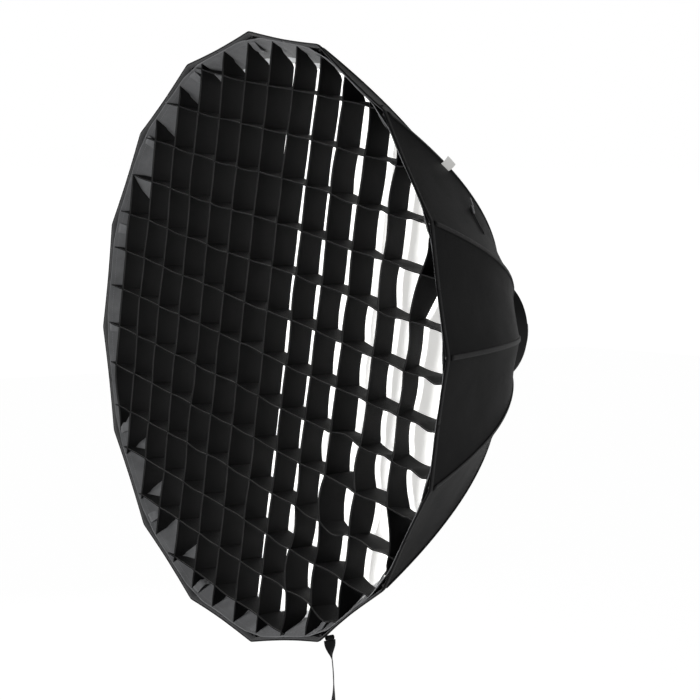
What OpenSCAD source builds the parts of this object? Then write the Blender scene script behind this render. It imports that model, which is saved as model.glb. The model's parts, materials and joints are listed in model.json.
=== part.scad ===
// Octabox: a deep sixteen-rib folding softbox with a fabric grid, on a bayonet mount ring.
// Frame: the origin is at the middle of the mount's seating face. The light leaves along -Y
// and +Z is up. "Depth" below means the distance in front of the seating face, along -Y.

/* [Canopy] */
// Distance across the front rim, corner to opposite corner
rim_d = 900; // [900:10:920]
// Depth of the front rim in front of the seating face
rim_depth = 485; // [482:1:490]
// Depth of the reflector curve's vertex
vertex_depth = 46; // [45:1:47]
// Thickness of the canopy's outer, lining and padding together
fabric_t = 1.2; // [1:0.1:1.5]
// Radius of the opening that the fabric leaves round the hub
collar_r = 90; // [89:1:94]

/* [Ribs] */
// Diameter of the sprung rod
rod_d = 5; // [4:0.5:5]
// Radius of the circle that the rib hinges stand on
hinge_r = 74; // [73.5:0.5:74]
// Radius at which the strut is pinned to the rib
strut_pin_r = 112; // [110:1:114]
// Radius at which the rib's plate ends and its rod begins
plate_end_r = 134; // [132:1:140]

/* [Mount] */
// Radius of the lamp opening
bore_r = 49; // [48:0.5:50]
// Outer radius of the mount tube
tube_r = 60; // [60:0.5:60]
// Outer radius of the seating flange
flange_r = 75; // [72:1:76]
// Outer radius of the swivelling hub
hub_r = 84; // [84:1:85]

/* [Front] */
// Corner radius of the fabric grid at its back edge
grid_r = 415; // [410:0.5:415]
// Corner radius of the fabric grid at its front edge
grid_front_r = 436; // [430:0.5:436]
// Depth of the grid's cells, front to back
grid_t = 40; // [30:1:40]
// Spacing of the grid's upright strips
column_pitch = 60.8; // [55:0.1:65]
// Spacing of the grid's cross strips
row_pitch = 64; // [55:0.5:70]
// Thickness of a grid strip
strip_t = 1.2; // [1:0.1:2]
// Width of the hanging strap
strap_w = 20; // [15:1:25]
// Free length of the hanging strap
strap_l = 115; // [60:1:150]

/* [Hidden] */
RIBS = 16;
$fn = 48;
eps = 0.01;

// The reflector curve is a parabola through the rim's corners
curve_k = (rim_depth - vertex_depth) / pow(rim_d / 2, 2);
step_a = 360 / RIBS;

// Mount ring
lug_back = -12;
lug_front = -7;
lug_r = 64;
lug_sweep = 40;
flange_t = 6;
tube_front = 34;
screw_ring_r = 55;
screws = 4;

// Hub
hub_gap = 0.4;
hub_clear = 0.05;
hub_back = flange_t + hub_gap;
hub_step = tube_front - hub_gap;
crown_r = 67;
slot_w = 4.6;
ear_gap = 7;
knob_y = 20;
knob_a = 270;
button_a = 90;
button_r = 6;

// Rib plate, strut and their pins
plate_t = 4;
plate_w = 10;
eye_r = 6;
pin_r = 2;
pin_clear = 0.05;
strut_t = 2.5;
strut_gap = 0.3;
strut_z = plate_t / 2 + strut_gap;
strut_eye_r = 4.5;
socket_r = 4.5;
socket_l = 14;
// The rib's centre line lies this far inside the canopy's outer face, at its plate and at its tip
plate_inset = fabric_t + eye_r + 1;
tip_inset = fabric_t + rod_d / 2 + 0.6;
rod_sides = 8;
rod_rings = 20;
rod_start_r = plate_end_r + 11;
rod_end_r = 446;

// Runner
runner_in = 60;
runner_out = 84;
runner_half = 8;
// The runner slides in proportion to the fold, so its pin slots are this much longer than the pins
runner_slack = 4.5;

// Front pieces
diffuser_depth = 430;
diffuser_t = 1.2;
diffuser_r = 411;
grid_depth = 438;
grid_roll = -step_a / 2;
strap_rib = 9;
strap_depth = 465;
strap_r = 446.8;
strap_t = 1.5;
loop_l = 3.7;

function surface_s(r) = vertex_depth + curve_k * r * r;
// Unit vector from the reflector curve towards its axis, as [radial, depth]
function inward(r) = [-2 * curve_k * r, 1] / sqrt(1 + pow(2 * curve_k * r, 2));
function inset_point(r, d) = [r, surface_s(r)] + d * inward(r);
function spread(i, n, a, b) = a + (b - a) * i / n;
function rod_inset(r) = spread(max(0, r - plate_end_r), rod_end_r - plate_end_r, plate_inset, tip_inset);
function rod_point(r) = inset_point(r, rod_inset(r));
function angle_of(v) = atan2(v[1], v[0]);
function two(i) = str(i < 9 ? "0" : "", i + 1);

hinge_p = rod_point(hinge_r);
strut_p = rod_point(strut_pin_r);
plate_p = rod_point(plate_end_r);
// The strut is as long as its crank on the rib, so its far pin stays straight ahead of the hinge
runner_p = [hinge_p[0], 2 * strut_p[1] - hinge_p[1]];
runner_web_r = runner_p[0] - strut_eye_r - 0.8;
hub_front = hinge_p[1] + eye_r;
slot_floor = hinge_p[1] - eye_r - 2;

// Turns a profile drawn as [radius, depth] about the object's axis
module turned() {
    rotate([90, 0, 0]) rotate_extrude($fn = 96) children();
}

// Stands a piece drawn as X = radius, Y = depth, Z = sideways at a polar angle of the front view
module at_angle(a) {
    rotate([0, -a, 0]) rotate([180, 0, 0]) children();
}

// Rib 1 is at the top and the others follow towards -X
module at_rib(i) {
    at_angle(90 + i * step_a) children();
}

// A plate round two or more points, in the rib's plane, from z0 up
module bar(a, b, w, z0, t) {
    translate([a[0], a[1], z0]) rotate([0, 0, angle_of(b - a)])
        translate([0, -w / 2, 0]) cube([norm(b - a), w, t]);
}

module disc(p, r, z0, t) {
    translate([p[0], p[1], z0]) cylinder(r = r, h = t);
}

module mount_ring() {
    color([0.62, 0.63, 0.65])
    difference() {
        union() {
            turned() polygon([
                [bore_r, lug_back], [tube_r, lug_back], [tube_r, 0], [flange_r, 0],
                [flange_r, flange_t], [tube_r, flange_t], [tube_r, tube_front], [bore_r, tube_front]]);
            for (a = [30, 150, 270])
                rotate([0, a, 0]) rotate([90, 0, 0])
                    rotate_extrude(angle = lug_sweep, $fn = 96)
                        polygon([[tube_r - 3, lug_back + 0.5], [lug_r, lug_back + 0.5],
                                 [lug_r, lug_front], [tube_r - 3, lug_front]]);
        }
        for (i = [0 : screws - 1])
            at_angle(45 + i * 90) translate([screw_ring_r, tube_front + eps, 0])
                rotate([90, 0, 0]) cylinder(r = 1.5, h = 10);
    }
}

module retaining_ring() {
    color([0.10, 0.10, 0.11])
    difference() {
        turned() polygon([
            [bore_r, tube_front], [crown_r - 1, tube_front],
            [crown_r - 1, tube_front + 4], [bore_r, tube_front + 4]]);
        for (i = [0 : screws - 1])
            at_angle(45 + i * 90) translate([screw_ring_r, tube_front + 5, 0])
                rotate([90, 0, 0]) cylinder(r = 1.7, h = 6);
    }
}

module retainer_screws() {
    color([0.75, 0.75, 0.76])
    for (i = [0 : screws - 1])
        at_angle(45 + i * 90) translate([screw_ring_r, tube_front + 4, 0]) rotate([90, 0, 0]) {
            difference() {
                translate([0, 0, -2]) cylinder(r = 3, h = 2);
                translate([0, 0, -2.5]) cylinder(r = 1.2, h = 1.5, $fn = 6);
            }
            cylinder(r = 1.5, h = 13.5);
        }
}

module swivel_hub() {
    color([0.11, 0.11, 0.12])
    difference() {
        turned() polygon([
            [tube_r + hub_clear, hub_back], [hub_r - 2, hub_back], [hub_r, hub_back + 2],
            [hub_r, slot_floor], [hub_r - 2, hub_front], [crown_r, hub_front],
            [crown_r, hub_step], [tube_r + hub_clear, hub_step]]);
        for (i = [0 : RIBS - 1]) {
            at_rib(i) translate([crown_r - 3, slot_floor, -slot_w / 2]) cube([25, 20, slot_w]);
            at_angle(90 + (i + 0.5) * step_a)
                translate([crown_r - 3, slot_floor + 3, -ear_gap / 2]) cube([25, 20, ear_gap]);
            at_rib(i) disc(hinge_p, pin_r, -13, 26);
        }
        at_angle(knob_a) translate([tube_r - 1, knob_y, 0]) rotate([0, 90, 0])
            cylinder(r = 3.05, h = 30);
        at_angle(button_a) translate([hub_r - 14, knob_y, 0]) rotate([0, 90, 0])
            cylinder(r = button_r + 0.08, h = 20);
    }
}

module rib_pins() {
    color([0.75, 0.75, 0.76])
    for (i = [0 : RIBS - 1])
        at_rib(i) disc(hinge_p, pin_r, -9, 18);
}

module lock_knob() {
    color([0.06, 0.06, 0.065])
    at_angle(knob_a) translate([0, knob_y, 0]) rotate([0, 90, 0]) {
        translate([0, 0, tube_r + 0.5]) cylinder(r = 3, h = 30);
        difference() {
            union() {
                translate([0, 0, hub_r + 0.6]) cylinder(r = 7, h = 4);
                translate([0, 0, hub_r + 3]) cylinder(r = 11, h = 12);
            }
            for (a = [0 : 45 : 315])
                rotate([0, 0, a]) translate([12.5, 0, hub_r + 2]) cylinder(r = 3.2, h = 14);
        }
    }
}

module release_button() {
    color([0.55, 0.06, 0.05])
    at_angle(button_a) translate([0, knob_y, 0]) rotate([0, 90, 0]) {
        translate([0, 0, hub_r - 9]) cylinder(r = button_r, h = 12);
        translate([0, 0, hub_r + 3]) cylinder(r = button_r - 1, h = 1.2);
    }
}

module runner() {
    color([0.11, 0.11, 0.12])
    difference() {
        turned() polygon([
            [runner_in, runner_p[1] - runner_half + 2], [runner_in + 2, runner_p[1] - runner_half],
            [runner_out, runner_p[1] - runner_half], [runner_out, runner_p[1] + runner_half],
            [runner_in + 2, runner_p[1] + runner_half], [runner_in, runner_p[1] + runner_half - 2]]);
        for (i = [0 : RIBS - 1]) {
            at_rib(i) translate([runner_web_r, runner_p[1] - 15, strut_z - strut_gap])
                cube([30, 30, strut_t + 2 * strut_gap]);
            at_rib(i) {
                disc(runner_p - [0, 0.3], pin_r + pin_clear, -3, 13);
                disc(runner_p + [0, runner_slack], pin_r + pin_clear, -3, 13);
                translate([runner_p[0] - pin_r - pin_clear, runner_p[1] - 0.3, -3])
                    cube([2 * (pin_r + pin_clear), runner_slack + 0.3, 13]);
            }
            at_angle(90 + (i + 0.5) * step_a) translate([runner_p[0] + 1, runner_p[1] + 15, 0])
                rotate([90, 0, 0]) cylinder(r = 4, h = 30);
        }
    }
}

// One rib: a hinged plate that ends in a socket, and the sprung rod that the canopy bends
module rib(i) {
    color([0.09, 0.09, 0.10])
    at_rib(i) {
        difference() {
            union() {
                disc(hinge_p, eye_r, -plate_t / 2, plate_t);
                disc(strut_p, eye_r, -plate_t / 2, plate_t);
                bar(hinge_p, strut_p, plate_w, -plate_t / 2, plate_t);
                bar(strut_p, plate_p, plate_w, -plate_t / 2, plate_t);
                translate([plate_p[0], plate_p[1], 0]) rotate([0, 0, angle_of(plate_p - strut_p)])
                    rotate([0, 90, 0]) translate([0, 0, -2]) cylinder(r = socket_r, h = socket_l);
            }
            disc(hinge_p, pin_r + pin_clear, -plate_t, 2 * plate_t);
            disc(strut_p, pin_r + pin_clear, -plate_t, 2 * plate_t);
        }
        rod();
    }
}

// The rod as one tube swept along the rib's curve
module rod() {
    ring = [for (j = [0 : rod_sides - 1]) 360 * j / rod_sides];
    stations = [for (n = [0 : rod_rings]) spread(n, rod_rings, rod_start_r, rod_end_r)];
    points = [for (r = stations) let (p = rod_point(r), n = inward(r)) for (a = ring)
        [p[0] + n[0] * cos(a) * rod_d / 2, p[1] + n[1] * cos(a) * rod_d / 2, sin(a) * rod_d / 2]];
    sides = [for (n = [0 : rod_rings - 1], j = [0 : rod_sides - 1])
        let (k = (j + 1) % rod_sides, a = n * rod_sides, b = a + rod_sides)
        [b + j, b + k, a + k, a + j]];
    back = [[for (j = [0 : rod_sides - 1]) j]];
    front = [[for (j = [rod_sides - 1 : -1 : 0]) rod_rings * rod_sides + j]];
    polyhedron(points, concat(sides, back, front));
}

// One strut: a flat link beside the rib's plate, with a pin at each end
module strut(i) {
    color([0.62, 0.63, 0.65])
    at_rib(i) {
        disc(strut_p, strut_eye_r, strut_z, strut_t);
        disc(runner_p, strut_eye_r, strut_z, strut_t);
        bar(strut_p, runner_p, 6, strut_z, strut_t);
        disc(strut_p, pin_r, -plate_t / 2 - 1, strut_z + plate_t / 2 + 1 + strut_t);
        disc(runner_p, pin_r, -2, 11);
    }
}

// The canopy cloth on one rib: two half gores that meet at the rib in a ridge
module canopy(i) {
    rows = 12;
    mid_c = (1 + cos(step_a)) / 2;
    mid_s = sin(step_a) / 2;
    seam_gap = 0.15;
    points = [for (n = [0 : rows], d = [0, fabric_t])
        let (r = spread(n, rows, collar_r, rim_d / 2), p = inset_point(r, d))
        for (side = [-1, 0, 1])
            [side == 0 ? p[0] : p[0] * mid_c, p[1], side * (p[0] * mid_s - seam_gap)]];
    skin = [for (n = [0 : rows - 1], j = [0, 1]) let (a = 6 * n + j, b = a + 6)
        each [[a, a + 1, b + 1], [a, b + 1, b], [a + 3, b + 4, a + 4], [a + 3, b + 3, b + 4]]];
    edges = [for (n = [0 : rows - 1]) let (a = 6 * n, b = a + 6)
        each [[a, b, b + 3], [a, b + 3, a + 3], [a + 2, b + 5, b + 2], [a + 2, a + 5, b + 5]]];
    back = [for (j = [0, 1]) each [[j, j + 3, j + 4], [j, j + 4, j + 1]]];
    front = [for (j = [6 * rows, 6 * rows + 1]) each [[j, j + 1, j + 4], [j, j + 4, j + 3]]];
    color([0.05, 0.05, 0.055])
    at_rib(i) polyhedron(points, concat(skin, edges, back, front));
}

// A sixteen-cornered sheet, corners in line with the ribs, from one depth forwards
module rim_plate(r, depth, t) {
    translate([0, -depth, 0]) rotate([90, 0, 0]) linear_extrude(height = t)
        polygon([for (i = [0 : RIBS - 1]) r * [cos(i * step_a), sin(i * step_a)]]);
}

// The grid's outline, which widens towards the front as the canopy does, drawn in by a margin
// and running past the grid's back and front by a little
module grid_outline(margin, past) {
    widen = (grid_front_r - grid_r) / grid_t;
    back_r = grid_r - margin - past * widen;
    front_r = grid_front_r - margin + past * widen;
    translate([0, past - grid_depth, 0]) rotate([90, 0, 0])
        linear_extrude(height = grid_t + 2 * past, scale = front_r / back_r)
            polygon([for (i = [0 : RIBS - 1]) back_r * [cos(i * step_a), sin(i * step_a)]]);
}

module front_diffuser() {
    color([0.93, 0.93, 0.91])
    rim_plate(diffuser_r, diffuser_depth, diffuser_t);
}

// Square cells between crossed strips, inside a band that follows the rim
module grid() {
    reach = grid_front_r - 4;
    first_column = -6.5;
    last_column = 5.5;
    rows = 6;
    color([0.06, 0.06, 0.065])
    intersection() {
        grid_outline(0, 0);
        union() {
            difference() {
                grid_outline(0, 0);
                grid_outline(2 * strip_t, 1);
            }
            rotate([0, -grid_roll, 0]) translate([0, -grid_depth - grid_t, 0]) {
                for (n = [first_column : last_column])
                    translate([n * column_pitch - strip_t / 2, 0, -reach])
                        cube([strip_t, grid_t, 2 * reach]);
                for (n = [-rows : rows])
                    translate([-reach, 0, n * row_pitch - strip_t / 2])
                        cube([2 * reach, grid_t, strip_t]);
            }
        }
    }
}

strap_a = 90 + strap_rib * step_a;
strap_x = strap_r * cos(strap_a);
strap_z = strap_r * sin(strap_a);

// The short sewn loop that the strap hangs from
module strap_loop() {
    color([0.05, 0.05, 0.055])
    translate([strap_x, -strap_depth, strap_z])
        difference() {
            translate([0, strap_w / 2 - 4, 0]) rotate([90, 0, 0])
                cylinder(r = 3.4, h = strap_w - 8);
            translate([0, strap_w, 0]) rotate([90, 0, 0]) cylinder(r = 2.2, h = 2 * strap_w);
        }
}

module strap() {
    color([0.05, 0.05, 0.055])
    translate([strap_x - strap_t / 2, -strap_depth - strap_w / 2, strap_z - strap_l - loop_l])
        cube([strap_t, strap_w, strap_l]);
}

mount_ring();
retaining_ring();
retainer_screws();
swivel_hub();
rib_pins();
lock_knob();
release_button();
runner();
front_diffuser();
grid();
strap_loop();
strap();
for (i = [0 : RIBS - 1]) {
    rib(i);
    strut(i);
    canopy(i);
}
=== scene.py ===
"""Octabox: cloth, grid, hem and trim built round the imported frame, in metres."""
import json
import math

import bmesh
import bpy
import numpy as np
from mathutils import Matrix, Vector, noise


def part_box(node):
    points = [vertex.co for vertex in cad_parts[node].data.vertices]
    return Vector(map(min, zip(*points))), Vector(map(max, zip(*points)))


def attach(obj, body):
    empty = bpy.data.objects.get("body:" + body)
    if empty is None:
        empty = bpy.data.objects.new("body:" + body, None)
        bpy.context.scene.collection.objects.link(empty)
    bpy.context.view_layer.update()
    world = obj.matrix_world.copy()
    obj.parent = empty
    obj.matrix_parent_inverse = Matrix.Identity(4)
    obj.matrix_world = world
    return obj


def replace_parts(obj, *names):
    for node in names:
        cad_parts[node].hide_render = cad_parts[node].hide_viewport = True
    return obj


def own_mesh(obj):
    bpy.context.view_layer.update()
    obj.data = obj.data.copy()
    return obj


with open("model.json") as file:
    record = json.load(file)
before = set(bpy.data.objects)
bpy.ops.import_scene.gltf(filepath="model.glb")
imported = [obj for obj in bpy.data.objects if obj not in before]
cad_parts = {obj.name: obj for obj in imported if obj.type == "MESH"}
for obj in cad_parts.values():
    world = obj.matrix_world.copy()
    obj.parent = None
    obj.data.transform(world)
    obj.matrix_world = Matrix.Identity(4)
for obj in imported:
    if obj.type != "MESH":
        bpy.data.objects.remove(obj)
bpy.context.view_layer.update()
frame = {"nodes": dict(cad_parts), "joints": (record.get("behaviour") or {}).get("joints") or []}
# Blender seeds noise_vector, which places the grid's crossings, from the clock unless a seed is set
noise.seed_set(1794858407)

# ---------------------------------------------------------------- sizes, in metres
RIBS = 16
STEP = 2 * math.pi / RIBS
RIM_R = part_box("canopy_01")[1].z
RIM_S = -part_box("canopy_01")[0].y
VERTEX_S = 0.046
CURVE = (RIM_S - VERTEX_S) / RIM_R**2
COLLAR_R = 0.090
CLOTH = 0.0016
LIP_R = 0.424
ROD_ROOM = 0.0055
FOLD = next(j for j in frame["joints"] if j["name"] == "frame_fold")
FOLD_Q = math.radians(FOLD["range_deg"][1])
HINGE_R, HINGE_S = FOLD["pos_m"][2], -FOLD["pos_m"][1]
MID_C = (1 + math.cos(STEP)) / 2
MID_S = math.sin(STEP) / 2
RIM_CENTRE = Vector((0, -RIM_S, 0))
SEAM_HALF = (0.0034, 0.0013)
COLLAR_TAPE_HALF = 0.0042
HEM_HALF = 0.0044
TAPE_HALF_T = 0.0017

# angles in degrees and a distance in metres, fitted to the photo
CAMERA_AT = (56.70, 3.66)
CAMERA_AWAY = 2.436
CAMERA_FACES = (53.22, 4.00)
BACKDROP_AT = (56.7, 0)


# ---------------------------------------------------------------- camera
def backwards(azimuth, elevation):
    """Unit vector from what is looked at towards the camera, from angles in degrees."""
    a, e = math.radians(azimuth), math.radians(elevation)
    return Vector((math.sin(a) * math.cos(e), -math.cos(a) * math.cos(e), math.sin(e)))


def make_camera():
    data = bpy.data.cameras.new("camera")
    camera = bpy.data.objects.new("camera", data)
    bpy.context.scene.collection.objects.link(camera)
    data.lens = 85.0
    data.sensor_width = 36.0
    data.clip_end = 100.0
    camera.location = RIM_CENTRE + backwards(*CAMERA_AT) * CAMERA_AWAY
    camera.rotation_mode = "QUATERNION"
    camera.rotation_quaternion = (-backwards(*CAMERA_FACES)).to_track_quat("-Z", "Y")
    bpy.context.scene.camera = camera


make_camera()


# ---------------------------------------------------------------- materials
def new_material(name):
    material = bpy.data.materials.new(name)
    material.use_nodes = True
    nodes = material.node_tree.nodes
    return material, nodes, material.node_tree.links, nodes["Principled BSDF"]


def mixed_colour(nodes, links, factor, dark, light):
    mix = nodes.new("ShaderNodeMix")
    mix.data_type = "RGBA"
    mix.inputs["A"].default_value = (*dark, 1)
    mix.inputs["B"].default_value = (*light, 1)
    links.new(factor, mix.inputs["Factor"])
    return mix.outputs["Result"]


def ranged(nodes, links, value, low, high):
    scale = nodes.new("ShaderNodeMapRange")
    scale.inputs["To Min"].default_value = low
    scale.inputs["To Max"].default_value = high
    links.new(value, scale.inputs["Value"])
    return scale.outputs["Result"]


def maths(nodes, links, operation, *values):
    node = nodes.new("ShaderNodeMath")
    node.operation = operation
    for socket, value in zip(node.inputs, values):
        if isinstance(value, (int, float)):
            socket.default_value = value
        else:
            links.new(value, socket)
    return node.outputs[0]


def noise_of(nodes, links, coords, size, detail):
    node = nodes.new("ShaderNodeTexNoise")
    node.inputs["Scale"].default_value = 1 / size
    node.inputs["Detail"].default_value = detail
    node.inputs["Roughness"].default_value = 0.55
    links.new(coords, node.inputs["Vector"])
    return node.outputs["Fac"]


def weave(nodes, links, coords, thread):
    """Height of a plain weave whose threads are `thread` metres wide, on UVs laid out in metres."""
    waves = []
    for direction in ("X", "Y"):
        wave = nodes.new("ShaderNodeTexWave")
        wave.bands_direction = direction
        wave.inputs["Scale"].default_value = 0.314 / thread
        wave.inputs["Distortion"].default_value = 0.6
        wave.inputs["Detail Scale"].default_value = 2.0
        links.new(coords, wave.inputs["Vector"])
        waves.append(wave.outputs["Fac"])
    return maths(nodes, links, "MAXIMUM", *waves)


def stitch_rows(nodes, links, coords, offset, pitch):
    """1 on the stitches of two rows that run along V, `offset` either side of the middle."""
    split = nodes.new("ShaderNodeSeparateXYZ")
    links.new(coords, split.inputs[0])
    away = maths(nodes, links, "ABSOLUTE", split.outputs[0])
    across = maths(nodes, links, "COMPARE", away, offset, 0.00035)
    turn = maths(nodes, links, "MULTIPLY", split.outputs[1], 2 * math.pi / pitch)
    along = maths(nodes, links, "GREATER_THAN", maths(nodes, links, "SINE", turn), -0.35)
    return maths(nodes, links, "MULTIPLY", across, along)


def relief(nodes, links, shader, heights):
    """Bumps one on top of another, from (height, metres of relief, strength)."""
    below = None
    for height, depth, strength in heights:
        bump = nodes.new("ShaderNodeBump")
        bump.inputs["Strength"].default_value = strength
        bump.inputs["Distance"].default_value = depth
        links.new(height, bump.inputs["Height"])
        if below:
            links.new(below, bump.inputs["Normal"])
        below = bump.outputs["Normal"]
    links.new(below, shader.inputs["Normal"])


def cloth_material(name, dark, light, rough, thread, weave_depth, crumple, crumple_depth,
                   sheen=0.0, specular=0.3, stitch=None, painted_glow=0.0):
    """Woven cloth: thread relief, soft crumples, slow changes of tone and gloss, and any stitching. Its
    glow, where given, is painted light: an even emission that stands in for light falling on the cloth.
    """
    material, nodes, links, shader = new_material(name)
    coords = nodes.new("ShaderNodeTexCoord")
    threads = weave(nodes, links, coords.outputs["UV"], thread)
    slow = noise_of(nodes, links, coords.outputs["Object"], crumple, 5)
    tone = maths(nodes, links, "MULTIPLY_ADD", threads, 0.45, ranged(nodes, links, slow, -0.1, 0.65))
    heights = [(threads, weave_depth, 0.5), (slow, crumple_depth, 0.6)]
    if stitch:
        rows = stitch_rows(nodes, links, coords.outputs["UV"], *stitch)
        tone = maths(nodes, links, "ADD", tone, rows)
        heights.append((rows, 0.0004, 0.8))
    links.new(mixed_colour(nodes, links, tone, dark, light), shader.inputs["Base Color"])
    links.new(ranged(nodes, links, slow, rough - 0.08, rough + 0.08), shader.inputs["Roughness"])
    relief(nodes, links, shader, heights)
    shader.inputs["Specular IOR Level"].default_value = specular
    shader.inputs["Sheen Weight"].default_value = sheen
    shader.inputs["Sheen Roughness"].default_value = 0.4
    # painted light: the cloth glows evenly, though it is no lamp, so that it looks more brightly lit
    if painted_glow:
        shader.inputs["Emission Color"].default_value = (1.0, 0.995, 0.97, 1)
        shader.inputs["Emission Strength"].default_value = painted_glow
    return material


def metal_material(name, dark, light, rough, metallic, grain, depth):
    """Turned, lacquered or moulded surface: fine grain, worn tone and smudges in the gloss."""
    material, nodes, links, shader = new_material(name)
    coords = nodes.new("ShaderNodeTexCoord").outputs["Object"]
    speck = noise_of(nodes, links, coords, grain, 4)
    smudge = noise_of(nodes, links, coords, 0.025, 3)
    links.new(mixed_colour(nodes, links, smudge, dark, light), shader.inputs["Base Color"])
    links.new(ranged(nodes, links, smudge, rough - 0.1, rough + 0.12), shader.inputs["Roughness"])
    relief(nodes, links, shader, [(speck, depth, 0.35)])
    shader.inputs["Metallic"].default_value = metallic
    return material


BLACK_CLOTH = cloth_material("black_cloth", (0.007, 0.007, 0.0074), (0.016, 0.016, 0.017), 0.52,
                             0.0007, 0.00010, 0.070, 0.0016, sheen=0.02, specular=0.12)
SEAM_CLOTH = cloth_material("seam_cloth", (0.008, 0.008, 0.0085), (0.032, 0.032, 0.033), 0.48,
                            0.0009, 0.0002, 0.010, 0.0006, sheen=0.06, specular=0.45,
                            stitch=(0.0019, 0.0042))
SILVER_CLOTH = cloth_material("silver_lining", (0.42, 0.43, 0.44), (0.72, 0.73, 0.74), 0.38,
                              0.0009, 0.00015, 0.035, 0.002, specular=0.9)
GRID_CLOTH = cloth_material("grid_cloth", (0.0045, 0.0045, 0.0047), (0.014, 0.014, 0.0145), 0.68,
                            0.0008, 0.0002, 0.040, 0.0015, sheen=0.0, specular=0.08)
GRID_EDGE = cloth_material("grid_edge_tape", (0.020, 0.020, 0.020), (0.050, 0.050, 0.050), 0.62,
                           0.0008, 0.0002, 0.012, 0.0006, sheen=0.08)
BAND_CLOTH = cloth_material("band_cloth", (0.050, 0.051, 0.053), (0.150, 0.152, 0.157), 0.66,
                            0.0010, 0.0004, 0.018, 0.0018, sheen=0.15, stitch=(0.0170, 0.0040))
HEM_TAPE = cloth_material("hem_tape", (0.016, 0.016, 0.0165), (0.070, 0.070, 0.072), 0.60,
                          0.0010, 0.0004, 0.006, 0.0006, sheen=0.12, stitch=(0.0016, 0.0036))
WEBBING = cloth_material("webbing", (0.010, 0.010, 0.011), (0.036, 0.036, 0.038), 0.58,
                         0.0014, 0.0005, 0.010, 0.0004, sheen=0.10, stitch=(0.0075, 0.0040))
# painted light: the white label glows so that it looks as brightly lit as in strong light
LABEL_CLOTH = cloth_material("label_cloth", (0.66, 0.66, 0.63), (0.86, 0.86, 0.84), 0.55,
                             0.0005, 0.0001, 0.006, 0.0005, stitch=(0.0085, 0.0022), painted_glow=0.35)
# painted light: the diffuser glows in place of the lamp shining through it from behind, and this also
# lightens the shade that the grid casts on it
DIFFUSER_CLOTH = cloth_material("diffuser_cloth", (0.80, 0.80, 0.78), (0.92, 0.92, 0.91), 0.80,
                                0.0008, 0.0001, 0.090, 0.003, specular=0.2, painted_glow=0.60)
LACQUER = metal_material("black_lacquer", (0.012, 0.012, 0.013), (0.022, 0.022, 0.023), 0.42, 0.0,
                         0.0012, 0.00008)
SATIN_ALLOY = metal_material("satin_alloy", (0.50, 0.51, 0.53), (0.66, 0.67, 0.69), 0.34, 1.0,
                             0.0009, 0.00004)
STEEL = metal_material("steel", (0.48, 0.48, 0.50), (0.64, 0.64, 0.65), 0.28, 1.0, 0.0007, 0.00003)
KNOB_PLASTIC = metal_material("knob_plastic", (0.012, 0.012, 0.013), (0.024, 0.024, 0.025), 0.55, 0.0,
                              0.0008, 0.0002)
BUTTON_PLASTIC = metal_material("button_plastic", (0.32, 0.016, 0.010), (0.44, 0.03, 0.02), 0.45, 0.0,
                                0.0008, 0.00012)


# ---------------------------------------------------------------- mesh helpers
def link(obj):
    bpy.context.scene.collection.objects.link(obj)
    return obj


def metres_uv(grid, closed=False):
    """UVs in metres along a grid's rows and columns, centred across."""
    points = np.array([[tuple(p) for p in row] for row in grid])
    if closed:
        points = np.concatenate([points, points[:, :1]], axis=1)
    across = np.linalg.norm(np.diff(points, axis=1), axis=2)
    along = np.linalg.norm(np.diff(points, axis=0), axis=2).mean(1)
    u = np.concatenate([np.zeros((len(grid), 1)), np.cumsum(across, axis=1)], axis=1)
    u -= u[:, -1:] / 2
    v = np.concatenate([[0], np.cumsum(along)])
    return [[(float(u[i, j]), float(v[i])) for j in range(u.shape[1])] for i in range(len(grid))]


def build(name, vertices, faces, slots, loop_uvs, materials, normals=None, sharp=()):
    mesh = bpy.data.meshes.new(name)
    mesh.from_pydata([tuple(v) for v in vertices], [], faces)
    if sharp:
        marks = mesh.attributes.new("sharp_edge", "BOOLEAN", "EDGE")
        marks.data.foreach_set("value", [tuple(sorted(e.vertices)) in sharp for e in mesh.edges])
    mesh.uv_layers.new(name="cloth").data.foreach_set("uv", [x for uv in loop_uvs for x in uv])
    for material in materials:
        mesh.materials.append(material)
    mesh.polygons.foreach_set("material_index", slots)
    mesh.polygons.foreach_set("use_smooth", [True] * len(faces))
    mesh.update()
    if normals is not None:
        mesh.normals_split_custom_set_from_vertices([tuple(n) for n in normals])
    return link(bpy.data.objects.new(name, mesh))


def thin_sheet(name, top, under, materials, slot_of=None, normals=None):
    """A closed sheet between two grids of points that match.
    slot_of(row, column, upper) picks the material."""
    rows, columns = len(top), len(top[0])
    size = rows * columns
    vertices = [p for grid in (top, under) for row in grid for p in row]
    uv = [p for row in metres_uv(top) for p in row]
    faces, slots = [], []
    for i in range(rows - 1):
        for j in range(columns - 1):
            a, b, c, d = (i * columns + j, i * columns + j + 1,
                          (i + 1) * columns + j + 1, (i + 1) * columns + j)
            faces.append((a, b, c, d))
            faces.append((d + size, c + size, b + size, a + size))
            slots += [slot_of(i, j, True), slot_of(i, j, False)] if slot_of else [0, 0]
    rim = list(range(columns))
    rim += [i * columns + columns - 1 for i in range(1, rows)]
    rim += [(rows - 1) * columns + j for j in range(columns - 2, -1, -1)]
    rim += [i * columns for i in range(rows - 2, 0, -1)]
    sharp = set()
    for a, b in zip(rim, rim[1:] + rim[:1]):
        faces.append((b, a, a + size, b + size))
        slots.append(0)
        sharp |= {tuple(sorted((a, b))), tuple(sorted((a + size, b + size)))}
    loop_uvs = [uv[v % size] for face in faces for v in face]
    return build(name, vertices, faces, slots, loop_uvs, materials, normals, sharp)


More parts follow.
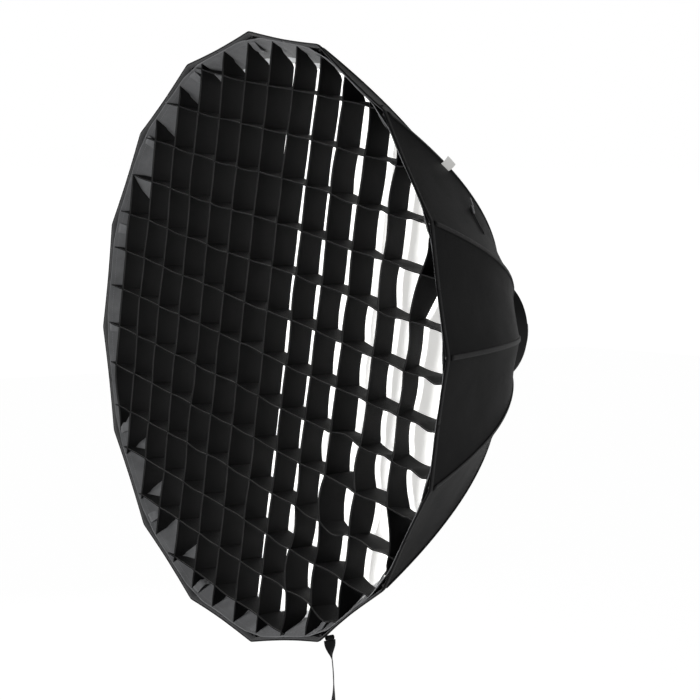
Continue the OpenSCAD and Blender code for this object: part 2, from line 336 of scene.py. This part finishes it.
def tube(name, rings, material):
    """A closed tube through rings of points, with flat ends."""
    sides = len(rings[0])
    vertices = [p for ring in rings for p in ring]
    uv = metres_uv(rings, closed=True)
    faces, loop_uvs = [], []
    for i in range(len(rings) - 1):
        for j in range(sides):
            k = (j + 1) % sides
            a = i * sides
            faces.append((a + j, a + k, a + sides + k, a + sides + j))
            loop_uvs += [uv[i][j], uv[i][j + 1], uv[i + 1][j + 1], uv[i + 1][j]]
    last = len(vertices) - sides
    faces += [tuple(range(sides - 1, -1, -1)), tuple(range(last, last + sides))]
    loop_uvs += [(0.0, 0.0)] * (2 * sides)
    piece = build(name, vertices, faces, [0] * len(faces), loop_uvs, [material])
    mend(piece)
    return piece


def mend(piece):
    """Turns all of a piece's faces outwards."""
    bm = bmesh.new()
    bm.from_mesh(piece.data)
    bmesh.ops.recalc_face_normals(bm, faces=bm.faces)
    bm.to_mesh(piece.data)
    bm.free()


def flat_oval(centre, wide, high, half_w, half_t, sides=16):
    """A ring of points: a strip's cross-section with rounded edges."""
    ring = []
    for i in range(sides):
        a = 2 * math.pi * (i + 0.5) / sides
        x = math.copysign(abs(math.cos(a)) ** 0.5, math.cos(a)) * half_w
        y = math.copysign(abs(math.sin(a)) ** 0.8, math.sin(a)) * half_t
        ring.append(centre + wide * x + high * y)
    return ring


def cut_size(grid):
    """Width, length and area of the flat cut that a grid of points was made from."""
    points = np.array([[tuple(p) for p in row] for row in grid])
    widths = np.linalg.norm(np.diff(points, axis=1), axis=2).sum(1)
    length = float(np.linalg.norm(np.diff(points, axis=0), axis=2).sum(0).mean())
    width = float(widths.max())
    return (width, length), min(float(widths.mean()) * length, width * length)


def smooth(value, low, high):
    """0 below low, 1 above high and a smooth rise between."""
    x = min(max((value - low) / (high - low), 0.0), 1.0)
    return x * x * (3 - 2 * x)


# ---------------------------------------------------------------- shape of the canopy
def curve_s(r):
    return VERTEX_S + CURVE * r * r


def rib_angle(k):
    return math.pi / 2 + k * STEP


def in_rib(k, radial, sideways, s):
    """A point from its radius, its distance to the side of rib k and its depth."""
    a = rib_angle(k)
    return Vector((radial * math.cos(a) - sideways * math.sin(a), -s,
                   radial * math.sin(a) + sideways * math.cos(a)))


def rim_share(r):
    """0 at the collar and 1 at the rim."""
    return min(max((r - COLLAR_R) / (RIM_R - COLLAR_R), 0), 1)


def sag(r):
    """How far the middle of a gore is drawn in towards the axis."""
    u = rim_share(r)
    return 0.012 * r * max(math.sin(math.pi * u), 0) ** 0.8 + 0.002 * u


def gore_point(k, t, r, inset):
    """The cloth at rib k, t from -1 to 1 between the middles of the gores beside it."""
    if abs(t) > 1:
        k, t = k + int(math.copysign(1, t)), t - math.copysign(2, t)
    half = MID_S * r
    ridge = 0.0025 / half
    soft_t = (math.sqrt(t * t + ridge * ridge) - ridge) / (math.sqrt(1 + ridge * ridge) - ridge)
    drawn_in = 1 - sag(r) * (1 - (1 - min(soft_t, 1)) ** 2) / (r * MID_C)
    point = in_rib(k, r * (1 - (1 - MID_C) * soft_t) * drawn_in, half * t * drawn_in, curve_s(r))
    angle = math.atan2(point.z, point.x)
    u = rim_share(r)
    slope = 2 * CURVE * r
    out = Vector((math.cos(angle) * slope, 1, math.sin(angle) * slope)).normalized()
    wave = noise.noise(Vector((math.cos(angle) * 5.1, math.sin(angle) * 5.1, r * 9))) * 0.0022
    creases = noise.noise(Vector((math.cos(angle) * 22, math.sin(angle) * 22, r * 11)))
    wave += creases * 0.0012 * (1 - u) ** 1.5
    wave *= min(1, abs(soft_t) * 3) * min(1, 12 * (1 - u) + 0.15)
    return point + out * (wave - inset)


def gore_frame(k, t, r, inset=0.0):
    """Unit vectors of the cloth: across towards +t, along towards the rim, and outwards."""
    e = 0.0008
    across = gore_point(k, t + e / (MID_S * r), r, inset) - gore_point(k, t - e / (MID_S * r), r, inset)
    along = gore_point(k, t, r + e, inset) - gore_point(k, t, r - e, inset)
    out = across.cross(along).normalized()
    return across.normalized(), along.normalized(), out


def fold_share(r):
    """What is left of a gore's width at radius r when the frame is folded."""
    turned = (r * MID_C - HINGE_R) * math.cos(FOLD_Q) - (curve_s(r) - HINGE_S) * math.sin(FOLD_Q)
    return (HINGE_R + turned) / (r * MID_C)


def radius_where(share):
    low, high = COLLAR_R, RIM_R
    for _ in range(40):
        middle = (low + high) / 2
        low, high = (middle, high) if fold_share(middle) > share else (low, middle)
    return low


BANDS = 8
SHARES = [fold_share(COLLAR_R) + (fold_share(RIM_R) - fold_share(COLLAR_R)) * i / BANDS
          for i in range(BANDS + 1)]
EDGES = [COLLAR_R] + [radius_where(s) for s in SHARES[1:-1]] + [RIM_R]
ACROSS = [math.copysign(abs(j / 11) ** 1.5, j) for j in range(-11, 12)]


def fold_with_rib(piece, k):
    """The piece goes with rib k, with a mesh of its own."""
    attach(piece, f"rib_{k + 1:02d}")
    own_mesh(piece)
    return piece


# ---------------------------------------------------------------- canopy, seams and hems
def canopy_band(k, band):
    """One ring of the cloth on rib k: black outside, silver inside, and black inside the front lip."""
    low, high = EDGES[band], EDGES[band + 1]
    steps = max(4, round((curve_s(high) - curve_s(low) + high - low) / 0.007))
    radii = [low + (high - low) * i / steps for i in range(steps + 1)]
    outer = [[gore_point(k, t, r, 0) for t in ACROSS] for r in radii]
    inner = [[gore_point(k, t, r, CLOTH) for t in ACROSS] for r in radii]
    normals = [gore_frame(k, t, r)[2] for r in radii for t in ACROSS]
    normals += [-n for n in normals]

    def side_slot(i, j, upper):
        return 0 if upper or radii[i] > LIP_R else 1

    piece = thin_sheet(f"canopy_{k + 1:02d}_band_{band + 1}", outer, inner, [BLACK_CLOTH, SILVER_CLOTH],
                       side_slot, normals)
    return fold_with_rib(piece, k), cut_size(outer)


def edge_tape(name, k, r, half_w, material):
    """Binding folded over the cloth's edge on rib k, at the rim or round the hub."""
    rings = []
    for j in range(-16, 17):
        t = math.copysign(abs(j / 16) ** 1.4, j)
        _, along, out = gore_frame(k, t, r)
        rings.append(flat_oval(gore_point(k, t, r, CLOTH / 2), along, out, half_w, TAPE_HALF_T))
    piece = tube(name, rings, material)
    return fold_with_rib(piece, k)


def rib_seam(k):
    """The raised, twice-stitched seam over rib k."""
    rings = []
    steps = 90
    for i in range(steps + 1):
        r = COLLAR_R + 0.004 + (RIM_R - COLLAR_R - 0.010) * i / steps
        across, _, out = gore_frame(k, 0, r)
        rings.append(flat_oval(gore_point(k, 0, r, -0.0003), across, out, *SEAM_HALF))
    piece = tube(f"rib_seam_{k + 1:02d}", rings, SEAM_CLOTH)
    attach(piece, f"rib_{k + 1:02d}")
    return piece


def make_gore(k):
    seam = rib_seam(k)
    collar = edge_tape(f"collar_tape_{k + 1:02d}", k, COLLAR_R + 0.002, COLLAR_TAPE_HALF,
                       SEAM_CLOTH)
    hem = edge_tape(f"rim_hem_{k + 1:02d}", k, RIM_R - 0.0025, HEM_HALF, HEM_TAPE)
    for band in range(BANDS):
        piece, (flat, area) = canopy_band(k, band)
        if band == 0:
            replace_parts(piece, f"canopy_{k + 1:02d}")


for k in range(RIBS):
    make_gore(k)


# ---------------------------------------------------------------- label and zip on the canopy
LABEL_RIB, LABEL_T, LABEL_R = 14, -0.13, 0.363
ZIP_R = (0.325, 0.3185, 0.312)


def make_label():
    """A blank white label that stands out of the cloth beside a rib seam."""
    long, proud, half_t = 0.025, 0.013, 0.0004
    across, along, out = gore_frame(LABEL_RIB, LABEL_T, LABEL_R)
    root = gore_point(LABEL_RIB, LABEL_T, LABEL_R, -0.0002)
    grids = ([], [])
    for i in range(9):
        y = i / 8
        row = ([], [])
        for j in range(9):
            x = (j / 8 - 0.5) * long
            curl = 0.0035 * y * y + 0.0012 * math.sin(3 * x / long + 1) * y
            point = root + along * (x + 0.003 * y) + out * (y * proud) + across * curl
            for side, sign in ((0, 1), (1, -1)):
                row[side].append(point + across * (sign * half_t))
        for side in (0, 1):
            grids[side].append(row[side])
    piece = thin_sheet("care_label", *grids, [LABEL_CLOTH])
    mend(piece)
    fold_with_rib(piece, LABEL_RIB)


def on_gore_track(name, k, track, half_w, half_t, lift, material):
    """A strip that lies on the cloth of rib k along a list of (t, r)."""
    rings = []
    for t, r in track:
        _, along, out = gore_frame(k, t, r)
        rings.append(flat_oval(gore_point(k, t, r, -lift), along, out, half_w, half_t))
    piece = tube(name, rings, material)
    return fold_with_rib(piece, k)


def make_zip():
    """A short zip across the gore, in two halves that go with the two ribs beside it."""
    for k, start, stop, near, far in ((LABEL_RIB, -0.72, -1.0, ZIP_R[0], ZIP_R[1]),
                                      (LABEL_RIB - 1, 1.0, 0.80, ZIP_R[1], ZIP_R[2])):
        track = [(start + (stop - start) * i / 12, near + (far - near) * i / 12) for i in range(13)]
        on_gore_track(f"zip_tape_{k + 1:02d}", k, track, 0.0075, 0.0006, 0.0003, SEAM_CLOTH)
        on_gore_track(f"zip_teeth_{k + 1:02d}", k, track, 0.0017, 0.0012, 0.0009, KNOB_PLASTIC)
    k, t = LABEL_RIB, -0.72
    across, along, out = gore_frame(k, t, ZIP_R[0])
    base = gore_point(k, t, ZIP_R[0], -0.0024)
    rings = []
    for i in range(13):
        x = i / 12
        half_w = 0.0036 - 0.0012 * x + 0.0004 * math.sin(math.pi * x)
        rings.append(flat_oval(base + across * (0.006 - 0.012 * x), along, out, half_w,
                               0.0011 + 0.0006 * math.sin(math.pi * x)))
    slider = tube("zip_slider", rings, STEEL)
    rings = []
    for i in range(9):
        centre = base + out * 0.0022 + across * (0.004 + 0.013 * i / 8) + along * 0.002 * i / 8
        rings.append(flat_oval(centre, along, out, 0.0020 + 0.0008 * (i / 8), 0.0005))
    pull = tube("zip_pull", rings, STEEL)
    for piece in (slider, pull):
        fold_with_rib(piece, k)


make_label()
make_zip()

# ---------------------------------------------------------------- diffuser and grid
GRID_ROLL = -STEP / 2
COLUMN_PITCH = 0.0608
ROW_PITCH = 0.064
ROW_SHIFT = -0.013
GRID_FRONT = 0.4815
GRID_DEPTH = 0.0410
TIE_DEPTH = 0.40
STRIPS = 13
STRIP_LEVELS = (0.0, 0.045, 0.25, 0.5, 0.75, 1.0)


def polygon_radius(angle, corner_r):
    """Radius of the sixteen-sided rim in a direction."""
    off = (angle - math.pi / 2 + STEP / 2) % STEP - STEP / 2
    return corner_r * math.cos(STEP / 2) / math.cos(STEP / 2 - abs(off))


def wall_r(s, gap):
    """Corner radius of the canopy's inner face at a depth, less a gap."""
    return math.sqrt(max(s - VERTEX_S, 1e-6) / CURVE) - CLOTH - gap


def border_radius(angle, s):
    """Radius of the border band: along the wall, and clear of the rods in the corners."""
    off = (angle - math.pi / 2 + STEP / 2) % STEP - STEP / 2
    clear = ROD_ROOM * math.exp(-((off * RIM_R / 0.016) ** 2))
    return polygon_radius(angle, wall_r(s, 0.0030)) - clear


def make_diffuser():
    s = -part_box("front_diffuser")[0].y
    rings, spokes, half_t = 40, 96, 0.0004
    faces = ([], [])
    for i in range(rings + 1):
        share = max(i / rings, 1e-4)
        rows = ([], [])
        for j in range(spokes + 1):
            a = 2 * math.pi * (j % spokes) / spokes
            r = polygon_radius(a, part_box("front_diffuser")[1].z) * share
            x, z = r * math.cos(a), r * math.sin(a)
            wave = 0.003 * noise.noise(Vector((x * 6, z * 3, 1.7))) * (1 - share**4)
            for side, sign in ((0, -1), (1, 1)):
                rows[side].append(Vector((x, -s + wave + sign * half_t, z)))
        for side in (0, 1):
            faces[side].append(rows[side])
    piece = thin_sheet("front_diffuser_cloth", *faces, [DIFFUSER_CLOTH])
    layer = piece.data.uv_layers[0].data
    for loop in piece.data.loops:
        place = piece.data.vertices[loop.vertex_index].co
        layer[loop.index].uv = (place.x, place.z)
    tidy_disc(piece)
    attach(piece, "front_diffuser")
    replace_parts(piece, "front_diffuser")


def tidy_disc(piece):
    """Closes a sheet whose first and last rows or columns meet."""
    bm = bmesh.new()
    bm.from_mesh(piece.data)
    bmesh.ops.remove_doubles(bm, verts=bm.verts, dist=2e-5)
    seen, double = set(), []
    for face in bm.faces:
        key = frozenset(v.index for v in face.verts)
        double += [face] if key in seen or len(key) < 3 else []
        seen.add(key)
    doubles = {frozenset(v.index for v in f.verts) for f in double}
    bmesh.ops.delete(bm, geom=[f for f in bm.faces if frozenset(v.index for v in f.verts) in doubles],
                     context="FACES_ONLY")
    bmesh.ops.recalc_face_normals(bm, faces=bm.faces)
    bm.to_mesh(piece.data)
    bm.free()


def grid_plane(u, v, s):
    """A point of the grid from its place along its own columns and rows."""
    c, n = math.cos(GRID_ROLL), math.sin(GRID_ROLL)
    return Vector((u * c - v * n, -s, u * n + v * c))


def slack(u, v):
    """How loosely the strips hang: taut at the left, loose at the right and most at the bottom right."""
    return 0.25 + 0.6 * smooth(u, 0.05, 0.36) + 1.3 * smooth(u, 0.05, 0.33) * smooth(-v, 0.0, 0.28)


def lean(u, v, depth):
    """How far a column is pushed aside at that depth: its front edge has slid outwards at the right."""
    front = 0.020 * smooth(u, 0.17, 0.36)
    back = (0.003 + 0.006 * smooth(-v, -0.10, 0.15)) * smooth(u, 0.13, 0.22)
    back += 0.004 * smooth(-u, -0.02, 0.06) - 0.0025 * smooth(u, -0.02, 0.05)
    return front + (back - front) * depth


def end_shift(u, v):
    """How far aside the end of a column is sewn: out at the last one, in at the foot of the first."""
    return 0.040 * smooth(u, 0.25, 0.335) + 0.035 * smooth(-u, 0.34, 0.39) * smooth(-v, -0.02, 0.02)


def knot_shift(i, j):
    """The small displacement of the crossing of column i and row j."""
    a = noise.noise_vector(Vector((i * 0.37 + 5, j * 0.41 + 9, 2.0)))
    b = noise.noise_vector(Vector((i * 1.7 + 1, j * 1.9 + 3, 8.0)))
    loose = slack((i + 0.5) * COLUMN_PITCH, j * ROW_PITCH)
    return Vector((a.x * 0.005 + b.x * 0.003 * loose, a.y * 0.005 + b.y * 0.003 * loose))


def reach(offset, along_columns, s):
    """Where a strip at that offset from the middle meets the border band, both ends."""
    ends = []
    for sign in (-1, 1):
        low, high = 0.0, RIM_R
        for _ in range(24):
            m = (low + high) / 2
            u, v = (offset, sign * m) if along_columns else (sign * m, offset)
            inside = math.hypot(u, v) < border_radius(math.atan2(v, u) + GRID_ROLL, s) - 0.0008
            low, high = (m, high) if inside else (low, m)
        ends.append(sign * low)
    return ends


def strip_point(index, offset, along_columns, at, depth, side, end_gap):
    """A point of a strip, `at` metres along it, `depth` of the way from its front edge to its back and
    `end_gap` from its nearer end, towards which it narrows to a tie."""
    pitch = ROW_PITCH if along_columns else COLUMN_PITCH
    cell = (at - ROW_SHIFT) / pitch if along_columns else at / pitch - 0.5
    low = math.floor(cell)
    part = cell - low
    ends = [(index, low), (index, low + 1)] if along_columns else [(low, index), (low + 1, index)]
    a, b = (knot_shift(*end) for end in ends)
    shift = a.lerp(b, part * part * (3 - 2 * part))
    u0, v0 = (offset, at) if along_columns else (at, offset)
    seed = index * 3.1 + low * 7.7 + (50 if along_columns else 0)
    loose = slack(u0, v0) * math.sin(math.pi * part)
    bulge = (noise.noise(Vector((seed, 0.5, 4.0))) - 0.15) * 0.010 * loose
    twist = noise.noise(Vector((seed, 9.5, 2.0))) * 0.014 * loose
    sideways = bulge + twist * (0.5 - depth)
    sideways += noise.noise(Vector((at * 14, depth * 1.2, seed))) * 0.0012
    full = TIE_DEPTH + (1 - TIE_DEPTH) * smooth(end_gap, -0.002, 0.026)
    sideways *= smooth(end_gap, -0.002, 0.02)
    if along_columns:
        shift_out = end_shift(offset, at)
        free = smooth(end_gap, -0.002, 0.11 if shift_out > 0.01 else 0.03)
        sideways += lean(offset, at, depth * full) * free + shift_out * (1 - free)
    thick = side * (0.0008 if depth < 0.05 else 0.0005)
    lip = noise.noise(Vector((at * 9, 3.3, seed * 0.1))) * 0.0012 * (1 - depth)
    s = GRID_FRONT - GRID_DEPTH * depth * full + lip
    if along_columns:
        return grid_plane(offset + shift.x + sideways + thick, at + shift.y, s)
    return grid_plane(at + shift.x, offset + shift.y + sideways + thick, s)


def make_strip(name, index, offset, along_columns):
    pitch = ROW_PITCH if along_columns else COLUMN_PITCH
    out = [end_shift(offset, v) if along_columns else 0 for v in (-1, 1)]
    spans = [[reach(offset + out[end], along_columns, GRID_FRONT - GRID_DEPTH * d * TIE_DEPTH)[end]
              for end in (0, 1)] for d in STRIP_LEVELS]
    count = round((spans[0][1] - spans[0][0]) / pitch * 10)
    sides = []
    for side in (-1, 1):
        sides.append([[strip_point(index, offset, along_columns, a + (b - a) * n / count, d, side,
                                   (b - a) * min(n, count - n) / count)
                       for d, (a, b) in zip(STRIP_LEVELS, spans)] for n in range(count + 1)])

    def edge_slot(i, j, upper):
        return 1 if j == 0 else 0

    piece = thin_sheet(name, *sides, [GRID_CLOTH, GRID_EDGE], edge_slot)
    mend(piece)
    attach(piece, "grid")


def make_band():
    """The border band that the strips are sewn to."""
    sectors = RIBS * 16
    layers = []
    for thick in (0, 0.0012):
        grid = []
        for j in range(sectors + 1):
            a = 2 * math.pi * (j % sectors) / sectors
            row = []
            for share in (0.0, 0.06, 0.2, 0.4, 0.6, 0.8, 1.0):
                s = GRID_FRONT + 0.001 - (GRID_DEPTH + 0.001) * share
                crease = noise.noise(Vector((math.cos(a) * 7, math.sin(a) * 7, share * 1.5))) * 0.0025
                r = border_radius(a, s) - abs(crease) - thick
                row.append(Vector((r * math.cos(a), -s, r * math.sin(a))))
            grid.append(row)
        layers.append(grid)
    piece = thin_sheet("grid_border_band", *layers, [BAND_CLOTH])
    tidy_disc(piece)
    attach(piece, "grid")
    return piece


def make_tab(k):
    """The touch-fastener tab that holds the grid's border at rib k."""
    half_w, half_t, a0 = 0.0085, 0.0007, rib_angle(k)
    side = Vector((-math.sin(a0), 0, math.cos(a0)))
    rings = []
    for i in range(9):
        x = i / 8
        s = GRID_FRONT - 0.001 - 0.024 * x
        r = border_radius(a0, s) - 0.0030 - 0.004 * math.sin(math.pi * x) ** 2
        aside = 0.004 * noise.noise(Vector((k * 1.3, x, 5.0)))
        centre = Vector((r * math.cos(a0), -s, r * math.sin(a0))) + side * aside
        rings.append(flat_oval(centre, side, Vector((math.cos(a0), 0, math.sin(a0))),
                               half_w * (1 - 0.25 * x), half_t))
    piece = tube(f"grid_tab_{k + 1:02d}", rings, BAND_CLOTH)
    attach(piece, "grid")


make_diffuser()
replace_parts(make_band(), "grid")
for n in range(STRIPS):
    row = n - STRIPS // 2
    column = row - 1
    make_strip(f"grid_column_{n + 1:02d}", column, (column + 0.5) * COLUMN_PITCH, True)
    make_strip(f"grid_row_{n + 1:02d}", row, row * ROW_PITCH + ROW_SHIFT, False)
for k in range(RIBS):
    make_tab(k)


# ---------------------------------------------------------------- strap
def make_strap():
    """The hanging strap: twisted below its loop, and slightly curved."""
    low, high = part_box("strap")
    x, y = (low.x + high.x) / 2, (low.y + high.y) / 2
    length, half_w, half_t = high.z - low.z, (high.y - low.y) / 2, (high.x - low.x) / 2
    rings = []
    for i in range(49):
        d = i / 48
        turn = math.radians(56 * smooth(d, 0.02, 0.25) - 34 * smooth(d, 0.45, 1.0))
        wide = Vector((math.sin(turn), -math.cos(turn), 0))
        high_v = Vector((math.cos(turn), math.sin(turn), 0))
        bow = 0.004 * math.sin(math.pi * d) + 0.003 * d
        centre = Vector((x, y, high.z - length * d)) + high_v * bow
        rings.append(flat_oval(centre, wide, high_v, half_w, half_t))
    piece = tube("strap_webbing", rings, WEBBING)
    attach(piece, "strap")
    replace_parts(piece, "strap")


make_strap()

# ---------------------------------------------------------------- finishes of the CAD nodes
FINISHES = {"mount_ring": SATIN_ALLOY, "retaining_ring": LACQUER, "retainer_screws": STEEL,
            "swivel_hub": LACQUER, "rib_pins": STEEL, "lock_knob": KNOB_PLASTIC,
            "release_button": BUTTON_PLASTIC, "runner": LACQUER, "strap_loop": WEBBING}
for k in range(RIBS):
    FINISHES[f"rib_{k + 1:02d}"] = LACQUER
    FINISHES[f"strut_{k + 1:02d}"] = STEEL
for node_name, material in FINISHES.items():
    mesh = frame["nodes"][node_name].data
    mesh.materials.clear()
    mesh.materials.append(material)


# ---------------------------------------------------------------- stage and light
def make_stage():
    """A white floor well below the box. It shows to the camera, throws no light up, and hides the box
    from a camera below it."""
    size, level = 14.0, -1.35
    mesh = bpy.data.meshes.new("floor")
    corners = [(-size, -size, level), (size, -size, level), (size, size, level), (-size, size, level)]
    mesh.from_pydata(corners, [], [(0, 1, 2, 3)])
    floor = link(bpy.data.objects.new("floor", mesh))
    material, _, _, shader = new_material("floor")
    shader.inputs["Base Color"].default_value = (0.02, 0.02, 0.02, 1)
    shader.inputs["Roughness"].default_value = 1.0
    shader.inputs["Specular IOR Level"].default_value = 0.0
    shader.inputs["Emission Color"].default_value = (1, 1, 1, 1)
    shader.inputs["Emission Strength"].default_value = 0.99
    mesh.materials.append(material)
    floor.visible_diffuse = False
    floor.visible_glossy = False


def add_area(name, place, target, size, power):
    data = bpy.data.lights.new(name, "AREA")
    data.shape = "SQUARE"
    data.size = size
    data.energy = power
    lamp = link(bpy.data.objects.new(name, data))
    lamp.location = place
    lamp.rotation_mode = "QUATERNION"
    lamp.rotation_quaternion = (Vector(target) - Vector(place)).to_track_quat("-Z", "Y")


def make_world():
    """A white studio: dim all round, with its bright backdrop behind the box."""
    world = bpy.data.worlds.new("studio")
    world.use_nodes = True
    nodes, links = world.node_tree.nodes, world.node_tree.links
    backdrop = nodes.new("ShaderNodeVectorMath")
    backdrop.operation = "DOT_PRODUCT"
    links.new(nodes.new("ShaderNodeTexCoord").outputs["Generated"], backdrop.inputs[0])
    backdrop.inputs[1].default_value = -backwards(*BACKDROP_AT)
    bright = nodes.new("ShaderNodeMapRange")
    bright.interpolation_type = "SMOOTHSTEP"
    bright.inputs["From Min"].default_value = 0.84
    bright.inputs["From Max"].default_value = 0.97
    bright.inputs["To Min"].default_value = 0.24
    bright.inputs["To Max"].default_value = 1.0
    links.new(backdrop.outputs["Value"], bright.inputs["Value"])
    height = nodes.new("ShaderNodeSeparateXYZ")
    links.new(backdrop.inputs[0].links[0].from_socket, height.inputs[0])
    dim = ranged(nodes, links, height.outputs["Z"], 1.05, 0.30)
    dim.node.inputs["From Min"].default_value = 0.0
    dim.node.inputs["From Max"].default_value = 0.6
    light = maths(nodes, links, "MULTIPLY", bright.outputs["Result"], dim)
    seen = nodes.new("ShaderNodeLightPath").outputs["Is Camera Ray"]
    links.new(maths(nodes, links, "MAXIMUM", seen, light),
              nodes["Background"].inputs["Strength"])
    nodes["Background"].inputs["Color"].default_value = (1, 1, 1, 1)
    bpy.context.scene.world = world
    bpy.context.scene.view_settings.view_transform = "Standard"


make_stage()
make_world()
add_area("key", (-0.3, -4.0, 0.12), (0, -0.4, 0), 1.5, 150)
add_area("fill", (-4.0, 0.7, 0.8), (0, -0.2, 0), 2.0, 130)
